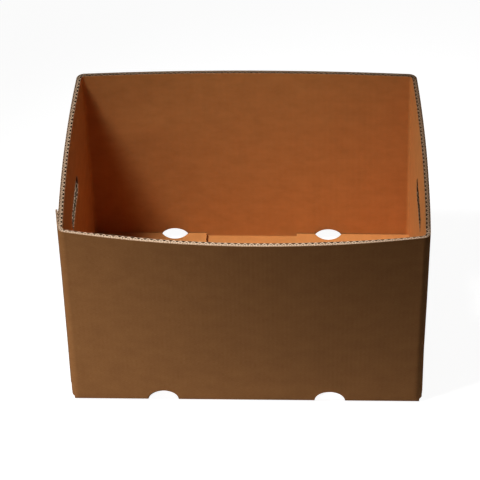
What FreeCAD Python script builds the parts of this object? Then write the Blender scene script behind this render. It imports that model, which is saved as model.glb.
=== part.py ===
import FreeCAD
import Part
import math
import os

# Half-slotted carton: one blank of double-wall corrugated board, slotted, folded square
# and glued at one upright corner. X runs along the length, -Y is the front, +Z is up.
# The body is drawn about the middle of its base and set down on its footprint's centre.

# Outside size at the base and the board it is cut from
LENGTH = 460.0
WIDTH = 334.0
HEIGHT = 288.0
BOARD = 6.3

# Inside radii of the folds, and the upright stretch above the bottom folds before the walls lean
UPRIGHT_FOLD_RADIUS = 5.0
BOTTOM_FOLD_RADIUS = 1.5
FOOT_RISE = 2.0

# How far each wall bellies out at the middle of the rim, where nothing ties it
FRONT_BOW = 21.0
RIGHT_BOW = 4.0
BACK_BOW = 7.4
LEFT_BOW = 4.0

# How far the load has racked each rim corner from above its base corner, along X and Y
FRONT_LEFT_LEAN = (-1.0, 3.0)
FRONT_RIGHT_LEAN = (-1.5, -3.0)
BACK_RIGHT_LEAN = (-6.5, 1.5)
BACK_LEFT_LEAN = (-3.0, -1.5)

# Bottom flaps: all four are scored at one length on the blank
FLAP_LENGTH = 166.0
FLAP_SLOT = 8.0
INNER_FLAP_CLEARANCE = 1.2

# Glue tab: the front panel's last strip, folded round the corner onto the left wall
TAB_LENGTH = 45.0
TAB_THICKNESS = 3.8
TAB_CREASE_THICKNESS = 0.8
TAB_CREASE_SET_BACK = 1.5
TAB_RAISE = 12.0
TAB_BEVEL = 10.0
TAB_BITE = 2.0

# Hand holes in the two end walls
HAND_HOLE_LENGTH = 95.0
HAND_HOLE_HEIGHT = 27.0
HAND_HOLE_DROP = 75.0

# Round drain vents punched across the long bottom folds, half in the wall and half in the flap
VENT_RADIUS = 20.0
VENT_SPACING = 218.0

# Papers' thickness and the flutes between them: pitch of a wave, height share of the outer row,
# depth of the mouths open at the rim, and waves that the folds press flat at each end of a wall
LINER = 0.5
MEDIUM = 0.5
OUTER_FLUTE_PITCH = 5.9
INNER_FLUTE_PITCH = 7.85
OUTER_FLUTE_SHARE = 0.4
MOUTH_DEPTH = 8.0
FLATTENED_WAVES = 2

OUTER_RADIUS = UPRIGHT_FOLD_RADIUS + BOARD
WALL_START = 2 * BOARD + BOTTOM_FOLD_RADIUS + FOOT_RISE
BOWS = (FRONT_BOW, RIGHT_BOW, BACK_BOW, LEFT_BOW)
LEANS = (FRONT_LEFT_LEAN, FRONT_RIGHT_LEAN, BACK_RIGHT_LEAN, BACK_LEFT_LEAN)
UP = FreeCAD.Vector(0, 0, 1)


def point(x, y, z=0.0):
    return FreeCAD.Vector(x, y, z)


def fold_centres(rise):
    """Centres of the four upright folds, from the base (rise 0) to the rim (rise 1)."""
    half_x = LENGTH / 2 - OUTER_RADIUS
    half_y = WIDTH / 2 - OUTER_RADIUS
    z = WALL_START + rise * (HEIGHT - WALL_START)
    signs = ((-1, -1), (1, -1), (1, 1), (-1, 1))
    centres = []
    for (sx, sy), (lean_x, lean_y) in zip(signs, LEANS):
        centres.append(point(sx * half_x + rise * lean_x, sy * half_y + rise * lean_y, z))
    return centres


class Side:
    """One wall's line in plan between two upright folds: an arc that bellies outwards."""

    def __init__(self, start, end, square, bow):
        self.start = start
        self.end = end
        self.square = square
        self.bow = bow
        self.length = (end - start).Length

    def edge(self, offset):
        """The wall's line that lies offset outside the fold centres."""
        start = self.start + self.square * offset
        end = self.end + self.square * offset
        if not self.bow:
            return Part.makeLine(start, end)
        return Part.Arc(start, (start + end) * 0.5 + self.square * self.bow, end).toShape()

    def at(self, share, offset):
        """Point on that line at a share of the wall's run, from 0 to 1."""
        line = self.edge(offset)
        first, last = line.ParameterRange
        return line.valueAt(first + share * (last - first))


def sides(rise):
    """The four walls in plan, counter-clockwise from the front."""
    centres = fold_centres(rise)
    following = centres[1:] + centres[:1]
    squares = (point(0, -1), point(1, 0), point(0, 1), point(-1, 0))
    return [Side(*wall) for wall in zip(centres, following, squares, [rise * bow for bow in BOWS])]


def fold_arc(centre, square, following, offset):
    """Quarter round of an upright fold between two walls' outward directions."""
    outward = (square + following).normalize()
    return Part.Arc(centre + square * offset, centre + outward * offset, centre + following * offset).toShape()


def outline(rise, offset):
    """Edges of the closed rounded outline that lies offset outside the fold centres."""
    walls = sides(rise)
    edges = []
    for wall, following in zip(walls, walls[1:] + walls[:1]):
        edges.append(wall.edge(offset))
        edges.append(fold_arc(wall.end, wall.square, following.square, offset))
    return edges


def block(offset):
    """Solid inside an outline: straight sides along the base, bellied ones along the rim."""
    low = outline(0.0, offset)
    high = outline(1.0, offset)
    faces = [Part.Face(Part.Wire(low)), Part.Face(Part.Wire(high))]
    for foot, top in zip(low[0::2], high[0::2]):
        faces.append(Part.makeRuledSurface(foot, top))
    for foot, top in zip(low[1::2], high[1::2]):
        faces.append(foot.extrude(top.Vertexes[0].Point - foot.Vertexes[0].Point))
    shell = Part.makeCompound(faces)
    shell.sewShape()
    return Part.makeSolid(shell.Shells[0])


def wall_ring():
    """Four walls as one band, open above and below."""
    return block(OUTER_RADIUS).cut(block(UPRIGHT_FOLD_RADIUS))


def base_prism(offset, low, high):
    """Upright prism on the base outline, between two heights."""
    foot = Part.Face(Part.Wire(outline(0.0, offset)))
    foot.translate(point(0, 0, low - WALL_START))
    return foot.extrude(point(0, 0, high - low))


def folded_flap(reach, level, half_run):
    """Foot of one wall with its flap folded in at a level, on the -X side of the box."""
    inner = BOTTOM_FOLD_RADIUS
    outer = BOTTOM_FOLD_RADIUS + BOARD
    turn = point(-reach + outer, -half_run, level + outer)
    slant = math.sqrt(0.5)
    end = -reach + FLAP_LENGTH
    face_out = turn + point(-outer, 0, 0)
    foot_out = turn + point(0, 0, -outer)
    face_in = turn + point(-inner, 0, 0)
    foot_in = turn + point(0, 0, -inner)
    corners = [point(face_in.x, -half_run, WALL_START), point(face_out.x, -half_run, WALL_START)]
    tips = [point(end, -half_run, level), point(end, -half_run, level + BOARD)]
    edges = [Part.Arc(face_out, turn + point(-outer * slant, 0, -outer * slant), foot_out).toShape()]
    edges.append(Part.makeLine(foot_out, tips[0]))
    edges.append(Part.makeLine(tips[0], tips[1]))
    edges.append(Part.makeLine(tips[1], foot_in))
    edges.append(Part.Arc(foot_in, turn + point(-inner * slant, 0, -inner * slant), face_in).toShape())
    edges.append(Part.makeLine(face_in, corners[0]))
    edges.append(Part.makeLine(corners[0], corners[1]))
    edges.append(Part.makeLine(corners[1], face_out))
    return Part.Face(Part.Wire(edges)).extrude(point(0, 2 * half_run, 0))


def turned(shape, degrees):
    """Copy of a shape turned about the box's upright axis."""
    copy = shape.copy()
    copy.rotate(point(0, 0), UP, degrees)
    return copy


def round_punch(sight):
    """Round bars of the vents' size through the long bottom edges, along Y or Z."""
    bars = []
    for x in (-VENT_SPACING / 2, VENT_SPACING / 2):
        middle = point(x, -WIDTH / 2)
        bar = Part.makeCylinder(VENT_RADIUS, 4 * VENT_RADIUS, middle - sight * 2 * VENT_RADIUS, sight)
        bars += [bar, turned(bar, 180)]
    return bars


def bottom_flaps():
    """Inner flaps on the end walls, lying on the outer flaps that meet under the middle."""
    inner_flap = folded_flap(LENGTH / 2, BOARD, WIDTH / 2 - BOARD - INNER_FLAP_CLEARANCE)
    inner_flap = inner_flap.cut(round_punch(UP))
    outer_flap = folded_flap(WIDTH / 2, 0.0, LENGTH / 2 - FLAP_SLOT / 2)
    flaps = [turned(outer_flap, 90), turned(outer_flap, 270), inner_flap, turned(inner_flap, 180)]
    rounded = base_prism(OUTER_RADIUS, 0.0, WALL_START)
    return [flap.common(rounded) for flap in flaps]


def fold_corners():
    """Feet of the four upright folds, between the slots, cut off square above the floor."""
    ring = base_prism(OUTER_RADIUS, BOARD, WALL_START)
    ring = ring.cut(base_prism(UPRIGHT_FOLD_RADIUS, BOARD, WALL_START))
    run_x = LENGTH - FLAP_SLOT
    run_y = WIDTH - 2 * (BOARD + INNER_FLAP_CLEARANCE)
    ends = Part.makeBox(2 * LENGTH, run_y, HEIGHT, point(-LENGTH, -run_y / 2, 0))
    front = Part.makeBox(run_x, 2 * BOARD, HEIGHT, point(-run_x / 2, -WIDTH / 2 - BOARD, 0))
    return ring.cut([ends, front, turned(front, 180)])


def tab_section(rise):
    """Tapered plan of the glue tab at one height, let into the left wall's outer face."""
    wall = sides(rise)[3]
    crease = 1.0 - TAB_CREASE_SET_BACK / wall.length
    end = 1.0 - (TAB_LENGTH - OUTER_RADIUS) / wall.length
    corners = [wall.at(crease, OUTER_RADIUS - TAB_BITE)]
    corners.append(wall.at(crease, OUTER_RADIUS + TAB_CREASE_THICKNESS))
    corners.append(wall.at(end, OUTER_RADIUS + TAB_THICKNESS))
    corners.append(wall.at(end, OUTER_RADIUS - TAB_BITE))
    return Part.makePolygon(corners + corners[:1])


def glue_tab():
    """Tab over the wall's whole height, with its lower end bevelled to clear the slot."""
    tab = Part.makeLoft([tab_section(0.0), tab_section(1.0)], True, True)
    left = -LENGTH / 2 - 2 * TAB_THICKNESS
    front = -WIDTH / 2
    back = front + TAB_LENGTH
    low = WALL_START - BOARD
    profile = [point(left, front, low), point(left, back, low)]
    profile.append(point(left, back, WALL_START + TAB_RAISE))
    profile.append(point(left, front, WALL_START + TAB_RAISE - TAB_BEVEL))
    bevel = Part.Face(Part.makePolygon(profile + profile[:1])).extrude(point(4 * OUTER_RADIUS, 0, 0))
    return tab.cut(bevel)


def hand_holes():
    """Punch for both hand holes: a slot with round ends, driven through the two end walls."""
    radius = HAND_HOLE_HEIGHT / 2
    half_run = HAND_HOLE_LENGTH / 2 - radius
    z = HEIGHT - HAND_HOLE_DROP - radius
    x = -LENGTH
    low_front = point(x, -half_run, z - radius)
    low_back = point(x, half_run, z - radius)
    high_front = point(x, -half_run, z + radius)
    high_back = point(x, half_run, z + radius)
    edges = [Part.makeLine(low_front, low_back)]
    edges.append(Part.Arc(low_back, point(x, half_run + radius, z), high_back).toShape())
    edges.append(Part.makeLine(high_back, high_front))
    edges.append(Part.Arc(high_front, point(x, -half_run - radius, z), low_front).toShape())
    return Part.Face(Part.Wire(edges)).extrude(point(2 * LENGTH, 0, 0))


def drain_vents():
    """Punches for the four vents: two crossed bars each, so that both halves meet on the fold."""
    return [across.common(down) for across, down in zip(round_punch(point(0, 1)), round_punch(UP))]


def flute_row(wall, wall_below, face, height, pitch, both_sides):
    """Punches for one wall's row of flutes, whose inner paper's face is offset from the fold centres.

    The fluted paper zigzags across the row, and each mouth is the triangle that it leaves open.
    """
    half = pitch / 2
    slant = math.atan2(height, half)
    shrink = 1 - MEDIUM / (pitch * math.sin(slant))
    waves = int(wall.length / pitch) - 2 * FLATTENED_WAVES
    start = (wall.length - waves * pitch) / 2
    punches = []
    for number in range(0, 2 * waves - 1, 1 if both_sides else 2):
        middle = start + (number + 1) * half
        near = face if number % 2 else face + height
        far = near + shrink * height if number % 2 else near - shrink * height
        corners = []
        for along, offset in ((-half * shrink, near), (half * shrink, near), (0.0, far)):
            corners.append(wall.at((middle + along) / wall.length, offset))
        mouth = Part.Face(Part.makePolygon(corners + corners[:1]))
        share = middle / wall.length
        punches.append(mouth.extrude(wall_below.at(share, face) - wall.at(share, face)))
    return punches


def flute_mouths():
    """Punches for all the flutes that the cut rim leaves open, in two rows between three liners."""
    room = BOARD - 3 * LINER
    outer_height = room * OUTER_FLUTE_SHARE
    inner_height = room - outer_height
    inner_face = UPRIGHT_FOLD_RADIUS + LINER
    outer_face = inner_face + inner_height + LINER
    below = 1.0 - MOUTH_DEPTH / (HEIGHT - WALL_START)
    punches = []
    for wall, wall_below in zip(sides(1.0), sides(below)):
        punches += flute_row(wall, wall_below, inner_face, inner_height, INNER_FLUTE_PITCH, True)
        punches += flute_row(wall, wall_below, outer_face, outer_height, OUTER_FLUTE_PITCH, False)
    return Part.makeCompound(punches)


def set_down(shape):
    """Move a shape so that its footprint's centre is the origin and it stands on Z = 0."""
    box = shape.optimalBoundingBox(False, False)
    shape.translate(point(-box.Center.x, -box.Center.y, -box.ZMin))
    return shape


def carton():
    """The whole folded and glued blank as one solid."""
    pieces = bottom_flaps() + [fold_corners(), glue_tab()]
    body = wall_ring().multiFuse(pieces)
    body = body.cut([hand_holes()] + drain_vents()).removeSplitter()
    return set_down(body.cut(flute_mouths()))


os.makedirs("parts", exist_ok=True)
folded = carton()
print("valid", folded.isValid(), "solids", len(folded.Solids), "faces", len(folded.Faces))
print("volume", round(folded.Volume), "size", folded.BoundBox)
folded.exportStep("parts/carton.step")
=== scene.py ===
import math
import bpy
import numpy as np
from mathutils import Matrix


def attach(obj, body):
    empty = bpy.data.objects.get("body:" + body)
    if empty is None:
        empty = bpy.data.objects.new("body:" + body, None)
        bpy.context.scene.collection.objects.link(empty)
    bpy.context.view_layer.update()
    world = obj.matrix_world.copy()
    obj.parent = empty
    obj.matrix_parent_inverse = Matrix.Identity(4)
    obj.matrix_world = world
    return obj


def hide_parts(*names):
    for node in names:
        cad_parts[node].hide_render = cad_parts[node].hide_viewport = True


# Half-slotted carton of double-wall board, shown as the five papers it is made of.
# Shapes are worked out in millimetres about the middle of the base, with the front at -Y.
# A place on the board is given by s, along the blank from the glued corner, and by v, which is
# the height above the floor on the walls and runs on round the bottom fold and into the flap.

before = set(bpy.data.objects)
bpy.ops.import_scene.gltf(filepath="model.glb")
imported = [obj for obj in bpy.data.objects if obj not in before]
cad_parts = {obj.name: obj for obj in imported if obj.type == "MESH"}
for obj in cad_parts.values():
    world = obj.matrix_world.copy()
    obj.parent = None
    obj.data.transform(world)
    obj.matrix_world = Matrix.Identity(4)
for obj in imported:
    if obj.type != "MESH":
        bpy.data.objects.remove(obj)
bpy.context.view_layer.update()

MM = 0.001
QUARTER = math.pi / 2

# Outside size at the base, the board and its papers
LENGTH, WIDTH, HEIGHT = 460.0, 334.0, 288.0
BOARD = 6.3
LINER = 0.4
MEDIUM = 0.36
OUTER_PITCH, INNER_PITCH = 5.9, 7.85
OUTER_SHARE = 0.4
WASHBOARD = 0.05

# Edges that the knife has spread at the rim: how far down, how far they fade round a fold, and
# the spread of each paper's sides as a pair of the side walls' own and an extra along the front
BURR_DEPTH, FADE = 2.4, 25.0
OUTER_SKIN_BURR = (0.0, 0.4)
OUTER_FLUTE_BURRS = ((0.0, 0.36), (0.3, 0.25))
MIDDLE_BURR = (0.2, 0.0)
INNER_FLUTE_BURRS = ((1.1, -0.35), (0.0, 0.06))
NO_BURR = (0.0, 0.0)

# Painted shade on the rim's cut edges, as a share of a darker brown: on the left wall, and the difference in
# front, right and back
PAINTED_RIM_SHADE = 0.5
PAINTED_RIM_SHADE_CHANGES = (-0.5, 0.3, 0.06)

# Dents: depth at the rim, further depth below it, and the height in which it comes in
DENT_AT_RIM, DENT_BELOW, DENT_FALL = 0.06, 0.3, 80.0

# Crushed rim: its reach round a corner, and how far down the wall it fades
CRUSH_ROUND, CRUSH_FALL = 9.0, 60.0

# Inside radii of the folds, and the upright stretch above the bottom folds
UPRIGHT_FOLD = 5.0
BOTTOM_FOLD = 1.5
FOOT_RISE = 2.0

# Walls front, right, back, left: how far each bellies out at the rim's middle, and how far
# the corners at the start of each lean from above their base corners
BOWS = np.array([21.0, 4.0, 7.4, 4.0])
LEANS = np.array([(-1.0, 3.0), (-1.5, -3.0), (-6.5, 1.5), (-3.0, -1.5)])

# Bottom flaps
FLAP = 166.0
FLAP_SLOT = 8.0
FLAP_CLEARANCE = 1.2

# Glue tab on the left wall beside the front corner
TAB, TAB_THICK, TAB_CREASE_THICK, TAB_SET_BACK = 45.0, 3.8, 0.8, 1.5
TAB_RAISE, TAB_BEVEL, TAB_CROWDING = 12.0, 10.0, 0.2

# Hand holes in the end walls and vents along the long bottom folds
HOLE_LENGTH, HOLE_HEIGHT, HOLE_DROP = 95.0, 27.0, 75.0
VENT_RADIUS, VENT_SPACING = 20.0, 218.0

OUTER_RADIUS = UPRIGHT_FOLD + BOARD
FOLD_RADIUS = BOTTOM_FOLD + BOARD
WALL_START = BOARD + FOLD_RADIUS + FOOT_RISE
LEVELS = np.array([0.0, BOARD, 0.0, BOARD])
RUNS = np.array([LENGTH, WIDTH, LENGTH, WIDTH]) - 2 * OUTER_RADIUS
REACHES = np.array([WIDTH, LENGTH, WIDTH, LENGTH]) / 2
OUTER_HALF = LENGTH / 2 - FLAP_SLOT / 2
INNER_HALF = WIDTH / 2 - BOARD - FLAP_CLEARANCE
FLAP_HALVES = np.array([OUTER_HALF, INNER_HALF, OUTER_HALF, INNER_HALF])
SPREADS = FLAP_HALVES - RUNS / 2
SPREAD_ANGLES = np.arcsin(SPREADS / OUTER_RADIUS)
NORMALS = np.array([(0.0, -1.0), (1.0, 0.0), (0.0, 1.0), (-1.0, 0.0)])
ALONGS = np.array([(1.0, 0.0), (0.0, 1.0), (-1.0, 0.0), (0.0, -1.0)])
CENTRES = np.array([(-1, -1), (1, -1), (1, 1), (-1, 1)]) * (np.array([LENGTH, WIDTH]) / 2 - OUTER_RADIUS)

CORNER_RUN = QUARTER * (UPRIGHT_FOLD + BOARD / 2)
TURN = QUARTER * (BOTTOM_FOLD + BOARD / 2)
STRETCHES = np.stack([np.full(4, CORNER_RUN), RUNS], 1).ravel()
STARTS = np.concatenate([[0.0], np.cumsum(STRETCHES)])
GIRTH = STARTS[-1]
WALL_STARTS = STARTS[1:8:2]
CREASES = LEVELS + FOLD_RADIUS - TURN / 2
HOLE_LEVEL = HEIGHT - HOLE_DROP - HOLE_HEIGHT / 2
VENT_REACH = VENT_RADIUS - CREASES[0]

# Crushed rim beside the front folds: place, way along the wall, share of the thickness and reach
CRUSHES = [(STARTS[1], 1, 0.24, 48.0), (STARTS[2], -1, 0.38, 75.0)]

# Rows of points down a band of the board, as shares of the band
RIM_ROWS = np.array([0.0, 0.02, 0.08, 0.35, 1.0])
WALL_ROWS = np.array([0.0, 0.2, 0.6, 1.0])
FLAP_ROWS = np.array([0.0, 0.18, 0.42, 0.7, 1.0])
TAB_ROWS = np.array([0.0, 0.02, 0.3, 0.7, 1.0])
TURN_ROWS = np.array([0.0, 0.33, 0.67])


def buckle(s, v):
    """Slow dents of the walls: two crossed sine waves, nowhere outward of the true face."""
    slow = np.sin(s / 47.0 + 1.3) * np.sin(v / 61.0 + 0.4)
    quick = np.sin(s / 21.0 + v / 90.0) * np.sin(v / 33.0 - 0.8)
    depth = DENT_AT_RIM + DENT_BELOW * np.clip((HEIGHT - v) / DENT_FALL, 0.0, 1.0)
    return depth * (-1.0 + 0.62 * slow + 0.38 * quick)


def crush(s, v):
    """Share of the board's thickness pressed out of the rim beside the two front folds.

    A bell curve along the blank for each fold, wide on the front wall and short round the corner,
    fades out down the wall by a smooth step.
    """
    share = 0.0
    for fold, way, depth, reach in CRUSHES:
        away = (s - fold + GIRTH / 2) % GIRTH - GIRTH / 2
        share = share + depth * np.exp(-(away / np.where(away * way > 0, reach, CRUSH_ROUND)) ** 2)
    near_rim = np.clip((v - HEIGHT + CRUSH_FALL) / CRUSH_FALL, 0.0, 1.0)
    return share * near_rim ** 2 * (3 - 2 * near_rim)


def wall_offset(s, v, rise, t):
    """Offset of a paper from the fold centres: dented, and pressed towards the outer face."""
    pressed = BOARD - (BOARD - t) * (1 - crush(s, v))
    return UPRIGHT_FOLD + pressed + buckle(s, v) * np.clip(rise * 6, 0.0, 1.0)


def ring(s, rise, offset):
    """Plan point of the folded blank at a length s, a rise from base 0 to rim 1 and an offset.

    Corners are quarter turns about fold centres that lean with the rise. Walls run straight
    between two centres and belly out by a parabola that grows with the rise.
    """
    s = s % GIRTH
    stretch = np.clip(np.searchsorted(STARTS, s, side="right") - 1, 0, 7)
    share = (s - STARTS[stretch]) / STRETCHES[stretch]
    side = stretch // 2
    is_wall = (stretch % 2 == 1)[..., None]
    following = (side + stretch % 2) % 4
    here = CENTRES[side] + LEANS[side] * rise[..., None]
    there = CENTRES[following] + LEANS[following] * rise[..., None]
    angle = (share * QUARTER)[..., None]
    turning = NORMALS[(side - 1) % 4] * np.cos(angle) + NORMALS[side] * np.sin(angle)
    outward = np.where(is_wall, NORMALS[side], turning)
    centre = np.where(is_wall, here + (there - here) * share[..., None], here)
    belly = np.where(is_wall[..., 0], 4 * BOWS[side] * rise * share * (1 - share), 0.0)
    return centre + outward * (offset + belly)[..., None]


def vent_cut(away):
    """Half-round of the vents: reach of the opening at a distance from a vent's middle."""
    return np.sqrt(np.maximum(VENT_RADIUS ** 2 - away ** 2, 0.0))


def notched(along, inward):
    """Across-place on an inner flap, drawn in where the vents' half-rounds bite its edges."""
    half = INNER_HALF
    edge = np.minimum(half, WIDTH / 2 - vent_cut(inward - (LENGTH - VENT_SPACING) / 2))
    margin = half - 1.6 * VENT_RADIUS
    share = np.clip((np.abs(along) - margin) / (half - margin), 0.0, 1.0)
    return np.sign(along) * (np.abs(along) - share * (half - edge))


def board_point(side, s, v, t):
    """Place of the board: wall by the ring, below it a quarter turn and then the level flap."""
    rise = np.clip((v - WALL_START) / (HEIGHT - WALL_START), 0.0, 1.0)
    wall_plan = ring(s, rise, wall_offset(s, v, rise, t))
    wall_height = np.maximum(v, WALL_START)
    path = np.maximum(WALL_START - v, 0.0)
    upright = WALL_START - LEVELS[side] - FOLD_RADIUS
    radius = BOTTOM_FOLD + t
    angle = np.clip((path - upright) / TURN, 0.0, 1.0) * QUARTER
    inward = FOLD_RADIUS - radius * np.cos(angle) + np.maximum(path - upright - TURN, 0.0)
    height = LEVELS[side] + FOLD_RADIUS + np.maximum(upright - path, 0.0) - radius * np.sin(angle)
    from_middle = s - WALL_STARTS[side] - RUNS[side] / 2
    beyond = np.maximum(np.abs(from_middle) - RUNS[side] / 2, 0.0)
    swing = beyond / CORNER_RUN * QUARTER
    round_end = (UPRIGHT_FOLD + t) * np.sin(swing)
    flat_end = SPREADS[side] * swing / SPREAD_ANGLES[side]
    blend = np.sin(angle)
    along = np.minimum(np.abs(from_middle), RUNS[side] / 2) + round_end + (flat_end - round_end) * blend
    inward = np.maximum(inward, np.where(beyond > 0, OUTER_RADIUS - (UPRIGHT_FOLD + t) * np.cos(swing), 0.0))
    along = along * np.sign(from_middle)
    if side % 2:
        along = notched(along, inward)
    flap_plan = ALONGS[side] * along[..., None] + NORMALS[side] * (REACHES[side] - inward)[..., None]
    on_wall = v >= WALL_START
    plan = np.where(on_wall[..., None], wall_plan, flap_plan)
    return np.concatenate([plan, np.where(on_wall, wall_height, height)[..., None]], -1)


def foot_point(s, v, t):
    """Foot of an upright fold below the walls: straight down on the base outline."""
    rise = np.clip((v - WALL_START) / (HEIGHT - WALL_START), 0.0, 1.0)
    plan = ring(s, rise, wall_offset(s, v, rise, t))
    return np.concatenate([plan, v[..., None]], -1)


def hole_half(s):
    """Half the hand hole's opening at a length: a slot with round ends in each end wall."""
    radius = HOLE_HEIGHT / 2
    straight = HOLE_LENGTH / 2 - radius
    middles = WALL_STARTS[1::2] + RUNS[1::2] / 2
    away = np.min(np.abs(s[..., None] - middles), -1)
    return np.sqrt(np.maximum(radius ** 2 - np.maximum(away - straight, 0.0) ** 2, 0.0))


def vent_half(s):
    """Half the vent's opening about the crease, as a share of its full reach."""
    middles = [WALL_STARTS[k] + RUNS[k] / 2 + way * VENT_SPACING / 2 for k in (0, 2) for way in (-1, 1)]
    away = np.min(np.abs(s[..., None] - np.array(middles)), -1)
    return vent_cut(away) / VENT_RADIUS


def levels(side, s):
    """Rows of v for one side, as bands from rim to hole, hole to vent, and vent to flap end."""
    opening = hole_half(s)
    vent = vent_half(s) if side % 2 == 0 else np.zeros_like(s)
    crease = CREASES[side]
    mid_line = WALL_START + vent * (VENT_RADIUS + 4 - WALL_START)
    end = crease - TURN / 2 - (FLAP - FOLD_RADIUS)
    flat = FLAP_ROWS
    if side % 2:
        bite = (LENGTH - VENT_SPACING) / 2 - VENT_RADIUS * np.cos(np.linspace(0, math.pi, 13))
        flat = np.concatenate([[0.0, 0.3], (bite - FOLD_RADIUS) / (FLAP - FOLD_RADIUS), [1.0]])
    flap_run = crease - end
    flap_rows = np.concatenate([TURN_ROWS * TURN / 2, TURN / 2 + flat * (flap_run - TURN / 2)]) / flap_run
    foot = WALL_START - crease
    foot_rows = np.concatenate([[0.0], (foot - TURN / 2 * np.array([1.0, 0.67, 0.33, 0.0])) / foot])
    bands = [(HEIGHT, HOLE_LEVEL + opening, RIM_ROWS)]
    bands.append((HOLE_LEVEL - opening, mid_line, WALL_ROWS))
    bands.append((mid_line, crease + vent * VENT_REACH, foot_rows))
    bands.append((crease - vent * VENT_REACH, end, flap_rows))
    return [top + (bottom - top) * rows[:, None] for top, bottom, rows in bands]


def foot_levels(s):
    """Rows of v at an upright fold, from the rim to the cut end above the floor."""
    bands = [(HEIGHT, HOLE_LEVEL, RIM_ROWS)]
    bands.append((HOLE_LEVEL, WALL_START, WALL_ROWS))
    bands.append((WALL_START, BOARD, np.array([0.0, 0.5, 1.0])))
    return [(top + (bottom - top) * rows[:, None]) + 0 * s for top, bottom, rows in bands]


def fixed_columns():
    """Lengths along the blank that every paper needs: folds, slots, holes and vents."""
    round_steps = np.sin(np.linspace(-QUARTER, QUARTER, 21))
    marks = [STARTS]
    for k in range(4):
        marks.append(np.linspace(STARTS[2 * k], STARTS[2 * k + 1], 7))
        spread = SPREAD_ANGLES[k] / QUARTER * CORNER_RUN
        marks.append([(WALL_STARTS[k] - spread) % GIRTH, (WALL_STARTS[k] + RUNS[k] + spread) % GIRTH])
        middle = WALL_STARTS[k] + RUNS[k] / 2
        if k % 2:
            radius = HOLE_HEIGHT / 2
            straight = HOLE_LENGTH / 2 - radius
            ends = np.abs(round_steps) * radius + straight
            marks.append(middle + np.sign(round_steps) * ends)
        else:
            for way in (-1, 1):
                marks.append(middle + way * VENT_SPACING / 2 + round_steps * VENT_RADIUS)
    return np.unique(np.round(np.concatenate(marks), 6))


def columns(step):
    """Fixed lengths joined by even steps, leaving out steps that crowd a fixed one."""
    fixed = fixed_columns()
    even = np.arange(0, GIRTH, step)
    gap = np.min(np.abs(even[:, None] - fixed[None, :]), 1)
    return np.sort(np.concatenate([fixed, even[gap > step * 0.35]]))


class Paper:
    """One closed thin sheet, gathered from slabs and welded where they meet."""

    def __init__(self):
        self.points = []
        self.places = []
        self.faces = []
        self.sorts = []
        self.count = 0

    def slab(self, outside, inside, place):
        """Adds a grid of points on each side of the paper, and the strips that close its edges."""
        rows, cols = outside.shape[:2]
        index = np.arange(rows * cols).reshape(rows, cols) + self.count
        a, b, c, d = index[:-1, :-1], index[:-1, 1:], index[1:, 1:], index[1:, :-1]
        skins = np.stack([a, d, c, b], -1).reshape(-1, 4)
        backs = np.stack([a, b, c, d], -1).reshape(-1, 4) + rows * cols
        edges = []
        border = ((index[0], False), (index[-1], True), (index[:, 0], True), (index[:, -1], False))
        for line, turned in border:
            near, far = (line[:-1], line[1:]) if not turned else (line[1:], line[:-1])
            edges.append(np.stack([near, far, far + rows * cols, near + rows * cols], -1))
        edges = np.concatenate(edges)
        self.points += [outside.reshape(-1, 3), inside.reshape(-1, 3)]
        self.places += [place.reshape(-1, 2)] * 2
        self.faces += [skins, backs, edges]
        self.sorts += [np.full(len(part), sort) for sort, part in enumerate((skins, backs, edges))]
        self.count += 2 * rows * cols

    def weld(self):
        """Joins equal points, and drops faces that two slabs share and those with no area."""
        points = np.concatenate(self.points)
        places = np.concatenate(self.places)
        faces = np.concatenate(self.faces)
        sorts = np.concatenate(self.sorts)
        first, joined = np.unique(np.round(points, 4), axis=0, return_index=True, return_inverse=True)[1:]
        faces = joined.ravel()[faces]
        ordered = np.sort(faces, 1)
        whole = (ordered[:, 1:] != ordered[:, :-1]).sum(1) >= 2
        faces, sorts, ordered = faces[whole], sorts[whole], ordered[whole]
        found, times = np.unique(ordered, axis=0, return_inverse=True, return_counts=True)[1:]
        single = times[found.ravel()] == 1
        return points[first], places[first], faces[single], sorts[single]


def ply(step, faces_of):
    """One paper of the board over the whole blank; faces_of gives its two sides at s and v."""
    paper = Paper()
    line = columns(step)
    for side in range(4):
        spread = SPREAD_ANGLES[side] / QUARTER * CORNER_RUN
        start, stop = WALL_STARTS[side] - spread, WALL_STARTS[side] + RUNS[side] + spread
        wrapped = np.concatenate([line, line + GIRTH]) if stop > GIRTH else line
        add_panel(paper, side, wrapped[(wrapped >= start - 1e-4) & (wrapped <= stop + 1e-4)], faces_of)
        before = SPREAD_ANGLES[side - 1] / QUARTER * CORNER_RUN
        low, high = STARTS[2 * side] + before, STARTS[2 * side + 1] - spread
        add_foot(paper, line[(line >= low - 1e-4) & (line <= high + 1e-4)], faces_of)
    add_tab(paper, line, faces_of)
    return paper.weld()


def add_panel(paper, side, s, faces_of):
    """Wall and flap of one side, band by band, with each side of the paper at its own depth."""
    for rows in levels(side, s):
        grids = []
        for shift, t in faces_of(s[None, :] + 0 * rows, rows):
            moved = np.clip(s[None, :] + 0 * rows + shift, s[0], s[-1])
            grids.append(board_point(side, moved, match_rows(moved, rows, s), t))
        paper.slab(grids[0], grids[1], np.stack([s[None, :] + 0 * rows, rows], -1))


def match_rows(moved, rows, s):
    """Rows of v at the shifted places, so that an opening's edge stays on its true line."""
    return np.stack([np.interp(moved[row], s, rows[row]) for row in range(len(rows))])


def add_foot(paper, s, faces_of):
    """Upright fold between two walls, down to its cut end above the floor."""
    for rows in foot_levels(s):
        across = s[None, :] + 0 * rows
        grids = [foot_point(across, rows, t) for shift, t in faces_of(across, rows)]
        paper.slab(grids[0], grids[1], np.stack([s[None, :] + 0 * rows, rows], -1))


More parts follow.
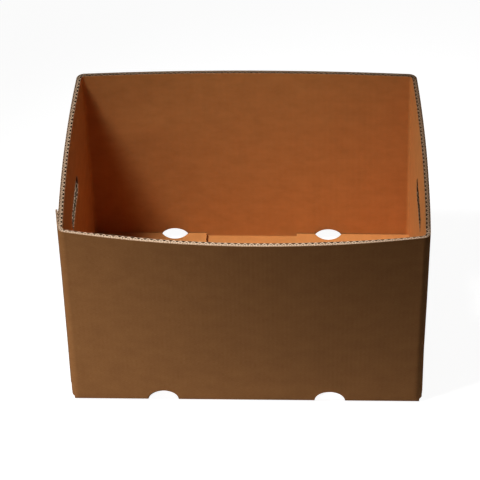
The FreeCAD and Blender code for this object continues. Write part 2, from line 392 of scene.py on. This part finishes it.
def add_tab(paper, line, faces_of):
    """Glue tab: the board again, squeezed to a wedge and laid on the left wall's outer face."""
    start, stop = GIRTH - (TAB - OUTER_RADIUS), GIRTH - TAB_SET_BACK
    inner = line[(line > start + 0.3) & (line < stop - 0.3)]
    s = np.concatenate([[start], inner, [stop]])
    thickness = np.interp(s, [start, stop], [TAB_THICK, TAB_CREASE_THICK])
    low = WALL_START + TAB_RAISE - TAB_BEVEL * np.clip((s - start) / TAB, 0.0, 1.0)
    rows = HEIGHT + (low - HEIGHT) * TAB_ROWS[:, None]
    grids = []
    for way, (shift, t) in zip((1, -1), faces_of(s[None, :] + 0 * rows, rows + 0 * s)):
        moved = np.clip(s[None, :] + shift, start, stop)
        crowded = np.clip(t + way * TAB_CROWDING, 0.0, BOARD)
        grids.append(foot_point(moved, rows, BOARD + crowded * thickness / BOARD))
    paper.slab(grids[0], grids[1], np.stack([s[None, :] + 0 * rows, rows], -1))


def wall_share(s, side):
    """One along a wall, fading to nought round its two folds."""
    away = (s - WALL_STARTS[side] - RUNS[side] / 2 + GIRTH / 2) % GIRTH - GIRTH / 2
    return np.clip((RUNS[side] / 2 + FADE - np.abs(away)) / FADE, 0.0, 1.0)


def spread(s, v, burr, extra):
    """How far the knife has spread a paper's edge at the rim: extra in front, none at the back."""
    near_rim = np.clip((v - HEIGHT) / BURR_DEPTH + 1.0, 0.0, 1.0)
    return (burr * (1 - wall_share(s, 2)) + extra * wall_share(s, 0)) * near_rim ** 2


def flat_paper(low, pitch, sink, burr):
    """Two sides of a liner that starts at low and shows the flutes below it by a slight sink."""
    def faces_of(s, v):
        wash = sink * (0.5 - 0.5 * np.cos(2 * math.pi * s / pitch))
        outside = low + LINER + (spread(s, v, *burr) if low < BOARD * 0.7 else -wash)
        inside = low - (spread(s, v, *burr) if low > 0 else -wash)
        return (0.0, outside), (0.0, inside)
    return faces_of


def fluted_paper(low, height, pitch, burrs):
    """Two sides of a fluted paper: a sine wave between two liners, thickened square to itself.

    At the rim each side is spread further by its own burr, up to the liner's face.
    """
    def faces_of(s, v):
        phase = 2 * math.pi * s / pitch + 0.5 * np.sin(s / 58.0)
        swing = (height - MEDIUM) / 2
        slope = np.arctan(swing * 2 * math.pi / pitch * np.cos(phase))
        middle = low + height / 2 + swing * np.sin(phase)
        sides = []
        for way, burr in zip((1, -1), burrs):
            half = MEDIUM / 2 + spread(s, v, *burr)
            level = np.clip(middle + way * half * np.cos(slope), low, low + height)
            sides.append((-way * half * np.sin(slope), level))
        return tuple(sides)
    return faces_of


def base_shift():
    """Where the middle of the base lies in the frame, from the rim outline's own middle."""
    s = np.linspace(0, GIRTH, 4001)[:-1]
    rim = ring(s, np.ones_like(s), np.full_like(s, OUTER_RADIUS))
    tab = ring(np.array([GIRTH - (TAB - OUTER_RADIUS)]), np.ones(1), np.array([OUTER_RADIUS + TAB_THICK]))
    base = ring(s, np.zeros_like(s), np.full_like(s, OUTER_RADIUS))
    every = np.concatenate([rim, tab, base])
    return -(every.min(0) + every.max(0)) / 2


SHIFT = np.append(base_shift(), 0.0)
SHARP_ANGLE = 38.0


def add_piece(name, made, materials):
    """Turns welded points and faces into a mesh object that stands for the carton.

    The materials are for the side that faces out, the side that faces in and the cut edges.
    """
    points, places, faces, sorts = made
    mesh = bpy.data.meshes.new(name)
    mesh.from_pydata(((points + SHIFT) * MM).tolist(), [], list(clean_quads(faces)))
    blank = mesh.attributes.new("blank", "FLOAT_VECTOR", "POINT")
    blank.data.foreach_set("vector", np.column_stack([places * MM, np.zeros(len(places))]).ravel())
    # Painted shade for the rim's cut edges along the blank: none in front, most on the right wall
    painted_rim_shade_layer = mesh.attributes.new("painted_rim_shade", "FLOAT", "POINT")
    painted_rim_shade_values = np.full(len(places), PAINTED_RIM_SHADE)
    for side, change in enumerate(PAINTED_RIM_SHADE_CHANGES):
        painted_rim_shade_values += change * wall_share(places[:, 0], side)
    painted_rim_shade_layer.data.foreach_set("value", painted_rim_shade_values)
    for material in materials:
        mesh.materials.append(material)
    mesh.polygons.foreach_set("material_index", sorts.astype(np.int32))
    mesh.polygons.foreach_set("use_smooth", np.ones(len(faces), bool))
    mesh.set_sharp_from_angle(angle=math.radians(SHARP_ANGLE))
    mesh.update()
    piece = bpy.data.objects.new(name, mesh)
    bpy.context.scene.collection.objects.link(piece)
    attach(piece, "root")
    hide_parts("carton")
    return piece


def clean_quads(faces):
    """Quads as lists, with a corner that repeats left out."""
    for face in faces.tolist():
        yield [corner for place, corner in enumerate(face) if corner != face[place - 1]]


def linear(red, green, blue):
    """Shader colour from 0 to 255 values as a picture shows them."""
    values = []
    for part in (red, green, blue):
        part = part / 255
        values.append(part / 12.92 if part <= 0.04045 else ((part + 0.055) / 1.055) ** 2.4)
    return (*values, 1.0)


class Shader:
    """A material's node tree, built by short calls."""

    def __init__(self, name):
        self.material = bpy.data.materials.new(name)
        self.material.use_nodes = True
        self.tree = self.material.node_tree
        self.surface = self.tree.nodes["Principled BSDF"]
        self.blank = self.tree.nodes.new("ShaderNodeAttribute")
        self.blank.attribute_name = "blank"

    def value(self, name):
        """Value of one of the mesh's own attributes."""
        node = self.tree.nodes.new("ShaderNodeAttribute")
        node.attribute_name = name
        return node.outputs["Fac"]

    def link(self, source, target):
        """Joins a node's output to another's input."""
        self.tree.links.new(source, target)

    def stretched(self, scale):
        """Blank coordinates scaled apart along s and v."""
        node = self.tree.nodes.new("ShaderNodeMapping")
        node.inputs["Scale"].default_value = scale
        self.link(self.blank.outputs["Vector"], node.inputs["Vector"])
        return node.outputs["Vector"]

    def noise(self, scale, detail, roughness):
        """Cloudy pattern from 0 to 1 over the blank."""
        node = self.tree.nodes.new("ShaderNodeTexNoise")
        node.inputs["Scale"].default_value = 1.0
        node.inputs["Detail"].default_value = detail
        node.inputs["Roughness"].default_value = roughness
        self.link(self.stretched(scale), node.inputs["Vector"])
        return node.outputs["Fac"]

    def ramp(self, value, low, high, first, last):
        """Value stretched from one range to another, and held at its ends."""
        node = self.tree.nodes.new("ShaderNodeMapRange")
        node.inputs["From Min"].default_value = low
        node.inputs["From Max"].default_value = high
        node.inputs["To Min"].default_value = first
        node.inputs["To Max"].default_value = last
        self.link(value, node.inputs["Value"])
        return node.outputs["Result"]

    def mix(self, factor, first, second):
        """Colour between a first and a second one."""
        node = self.tree.nodes.new("ShaderNodeMix")
        node.data_type = "RGBA"
        for value, socket in ((factor, node.inputs[0]), (first, node.inputs[6]), (second, node.inputs[7])):
            if isinstance(value, (float, tuple)):
                socket.default_value = value
            else:
                self.link(value, socket)
        return node.outputs[2]

    def bump(self, height, strength, distance):
        """Fine relief on the surface."""
        node = self.tree.nodes.new("ShaderNodeBump")
        node.inputs["Strength"].default_value = strength
        node.inputs["Distance"].default_value = distance
        self.link(height, node.inputs["Height"])
        self.link(node.outputs["Normal"], self.surface.inputs["Normal"])

    def finish(self, colour, roughness, specular):
        """Sets the surface's colour and sheen, and gives back the material."""
        self.link(colour, self.surface.inputs["Base Color"])
        self.surface.inputs["Roughness"].default_value = roughness
        self.surface.inputs["Specular IOR Level"].default_value = specular
        return self.material


# Patterns of the paper, in cycles per metre along the blank and up the wall
CLOUDS, FIBRES = (38.0, 60.0, 1.0), (260.0, 2600.0, 1.0)
FLECKS, TORN_FIBRES = (900.0, 1500.0, 1.0), (1400.0, 1400.0, 1.0)
FIBRE_RELIEF = 0.0002


def kraft(name, light, dark, roughness):
    """Machine-made kraft paper: cloudy formation, long fibres across the flutes, dark flecks."""
    shader = Shader(name)
    cloud = shader.noise(CLOUDS, 4.0, 0.62)
    colour = shader.mix(shader.ramp(cloud, 0.3, 0.7, 0.0, 1.0), dark, light)
    fibre = shader.noise(FIBRES, 3.0, 0.6)
    colour = shader.mix(shader.ramp(fibre, 0.35, 0.7, 0.0, 0.35), colour, linear(186, 138, 92))
    fleck = shader.noise(FLECKS, 1.0, 0.4)
    colour = shader.mix(shader.ramp(fleck, 0.7, 0.78, 0.0, 0.5), colour, linear(84, 52, 28))
    shader.bump(fibre, 0.25, FIBRE_RELIEF)
    return shader.finish(colour, roughness, 0.12)


def torn(name, light, dark):
    """Cut edge of a paper: rough, with darker fibre bundles, and turned darker brown by painted shade that
    is least in front.
    """
    shader = Shader(name)
    fibre = shader.noise(TORN_FIBRES, 3.0, 0.65)
    colour = shader.mix(shader.ramp(fibre, 0.3, 0.7, 0.0, 1.0), dark, light)
    # Painted shade: the cut edge is mixed toward a darker brown by the painted rim shade attribute
    colour = shader.mix(shader.value("painted_rim_shade"), colour, linear(118, 84, 54))
    shader.bump(fibre, 0.5, FIBRE_RELIEF)
    return shader.finish(colour, 0.95, 0.08)


def make_carton():
    """The five papers of the board, from the outside in."""
    # Partly painted shade: the outer liner is the paper's own kraft colour, written darker than plain kraft
    # to stand in for the shade on the front wall
    outside = kraft("kraft_outside_painted_shade", linear(154, 102, 56), linear(141, 91, 48), 0.85)
    # Partly painted light: the inner liner is the paper's own kraft colour, written lighter than the outer
    # one to stand in for bounce light on the inner walls
    inside = kraft("kraft_inside_painted_bounce", linear(206, 137, 74), linear(192, 125, 65), 0.88)
    # Painted shade: the fluting and the board's inner faces are written near black, standing for the shade
    # in the flutes' narrow channels rather than the paper's greyish brown
    painted_shade_fluting = kraft("fluting_painted_shade", linear(44, 26, 13), linear(32, 18, 9), 0.95)
    edge = torn("cut_edge", linear(248, 222, 194), linear(224, 184, 148))
    skin_edge = torn("cut_edge_of_skins", linear(226, 190, 156), linear(182, 140, 106))
    room = BOARD - 3 * LINER
    outer_height = room * OUTER_SHARE
    inner_height = room - outer_height
    outer_low = 2 * LINER + inner_height
    outer_sheet = flat_paper(BOARD - LINER, OUTER_PITCH, WASHBOARD, OUTER_SKIN_BURR)
    outer_wave = fluted_paper(outer_low, outer_height, OUTER_PITCH, OUTER_FLUTE_BURRS)
    middle_sheet = flat_paper(LINER + inner_height, OUTER_PITCH, 0.0, MIDDLE_BURR)
    inner_wave = fluted_paper(LINER, inner_height, INNER_PITCH, INNER_FLUTE_BURRS)
    inner_sheet = flat_paper(0.0, INNER_PITCH, WASHBOARD, NO_BURR)
    add_piece("outer_liner", ply(OUTER_PITCH / 6, outer_sheet), (outside, painted_shade_fluting, skin_edge))
    add_piece("outer_flutes", ply(OUTER_PITCH / 7, outer_wave), (painted_shade_fluting, painted_shade_fluting, edge))
    add_piece("middle_liner", ply(12.0, middle_sheet), (painted_shade_fluting, painted_shade_fluting, edge))
    add_piece("inner_flutes", ply(INNER_PITCH / 8, inner_wave), (painted_shade_fluting, painted_shade_fluting, edge))
    add_piece("inner_liner", ply(INNER_PITCH / 6, inner_sheet), (painted_shade_fluting, inside, skin_edge))


# Camera as the photograph's: turned, tipped and rolled about the base, in degrees and millimetres
CAMERA_TIP, CAMERA_TURN, CAMERA_ROLL = 40.638, -1.994, 0.882
CAMERA_RIGHT, CAMERA_UP, CAMERA_BACK = -11.20, 104.16, 2941.7
CAMERA_LENS, SENSOR = 160.89, 36.0


# Lamps: name, place, target, width and height in metres, fan in degrees and power in watts
LAMPS = [("key", (-0.8, -0.4, 2.05), (0.0, -0.02, 0.2), (0.55, 0.55), 27.0, 1.75)]
LAMPS.append(("card", (-0.52, -0.62, 0.12), (-0.2, -0.17, 0.03), (0.4, 0.2), 80.0, 0.32))
WORLD_LEVEL = 0.055
FLOOR_REACH = 6.0
FLOOR_GREY = 0.36
FLOOR_GLOW = 0.94


def make_camera():
    """Camera whose axes are set from its tip, turn and roll, backed off along its sight line."""
    tip, turn, roll = (math.radians(a) for a in (CAMERA_TIP, CAMERA_TURN, CAMERA_ROLL))
    level = np.array([1.0, 0.0, 0.0])
    raised = np.array([0.0, math.sin(tip), math.cos(tip)])
    ahead = np.array([0.0, math.cos(tip), -math.sin(tip)])
    right = math.cos(roll) * level - math.sin(roll) * raised
    up = math.sin(roll) * level + math.cos(roll) * raised
    place = CAMERA_RIGHT * level + CAMERA_UP * raised - CAMERA_BACK * ahead
    unturn = np.array([[math.cos(turn), math.sin(turn), 0], [-math.sin(turn), math.cos(turn), 0], [0, 0, 1]])
    right, up, ahead, place = (unturn @ axis for axis in (right, up, ahead, place))
    place = (place + SHIFT) * MM
    data = bpy.data.cameras.new("camera")
    data.lens = CAMERA_LENS
    data.sensor_width = SENSOR
    data.clip_end = 50.0
    camera = bpy.data.objects.new("camera", data)
    matrix = np.eye(4)
    matrix[:3, 0], matrix[:3, 1], matrix[:3, 2], matrix[:3, 3] = right, up, -ahead, place
    camera.matrix_world = Matrix(matrix.tolist())
    bpy.context.scene.collection.objects.link(camera)
    bpy.context.scene.camera = camera


def camera_only(tree, low, high):
    """Value that is high where the camera, a mirror or clear glass looks, and low for light."""
    paths = tree.nodes.new("ShaderNodeLightPath")
    value = paths.outputs["Is Camera Ray"]
    for other in ("Is Glossy Ray", "Is Transmission Ray"):
        either = tree.nodes.new("ShaderNodeMath")
        either.operation = "MAXIMUM"
        tree.links.new(value, either.inputs[0])
        tree.links.new(paths.outputs[other], either.inputs[1])
        value = either.outputs["Value"]
    level = tree.nodes.new("ShaderNodeMapRange")
    level.inputs["To Min"].default_value = low
    level.inputs["To Max"].default_value = high
    tree.links.new(value, level.inputs["Value"])
    return level.outputs["Result"]


def make_stage():
    """Wide pale floor that the camera sees as white, apart from the shadow on it."""
    mesh = bpy.data.meshes.new("floor")
    corners = [(x * FLOOR_REACH, y * FLOOR_REACH, 0) for x, y in ((-1, -1), (1, -1), (1, 1), (-1, 1))]
    mesh.from_pydata(corners, [], [(0, 1, 2, 3)])
    floor = bpy.data.objects.new("floor", mesh)
    bpy.context.scene.collection.objects.link(floor)
    material = bpy.data.materials.new("studio_floor")
    material.use_nodes = True
    tree = material.node_tree
    surface = tree.nodes["Principled BSDF"]
    surface.inputs["Base Color"].default_value = (FLOOR_GREY, FLOOR_GREY, FLOOR_GREY, 1.0)
    surface.inputs["Roughness"].default_value = 1.0
    surface.inputs["Specular IOR Level"].default_value = 0.0
    surface.inputs["Emission Color"].default_value = (1.0, 1.0, 1.0, 1.0)
    tree.links.new(camera_only(tree, 0.0, FLOOR_GLOW), surface.inputs["Emission Strength"])
    mesh.materials.append(material)


def add_lamp(name, place, target, size, fan, power):
    """Soft box at a place, facing a target, whose light fans out by an angle."""
    data = bpy.data.lights.new(name, "AREA")
    data.shape = "RECTANGLE"
    data.size, data.size_y = size
    data.spread = math.radians(fan)
    data.energy = power
    lamp = bpy.data.objects.new(name, data)
    back = np.array(place, float) - np.array(target, float)
    back /= np.linalg.norm(back)
    side = np.cross([0.0, 0.01, 1.0], back)
    side /= np.linalg.norm(side)
    matrix = np.eye(4)
    matrix[:3, 0], matrix[:3, 1], matrix[:3, 2], matrix[:3, 3] = side, np.cross(back, side), back, place
    lamp.matrix_world = Matrix(matrix.tolist())
    bpy.context.scene.collection.objects.link(lamp)


def make_light():
    """Soft box high on the left, a low card at the left front, and a white surround."""
    for name, place, target, size, fan, power in LAMPS:
        add_lamp(name, place, target, size, fan, power)
    world = bpy.data.worlds.new("studio")
    bpy.context.scene.world = world
    world.use_nodes = True
    tree = world.node_tree
    backdrop = tree.nodes["Background"]
    backdrop.inputs["Color"].default_value = (1.0, 1.0, 1.0, 1.0)
    tree.links.new(camera_only(tree, WORLD_LEVEL, 1.0), backdrop.inputs["Strength"])


bpy.context.scene.view_settings.view_transform = "Standard"
make_carton()
make_camera()
make_stage()
make_light()
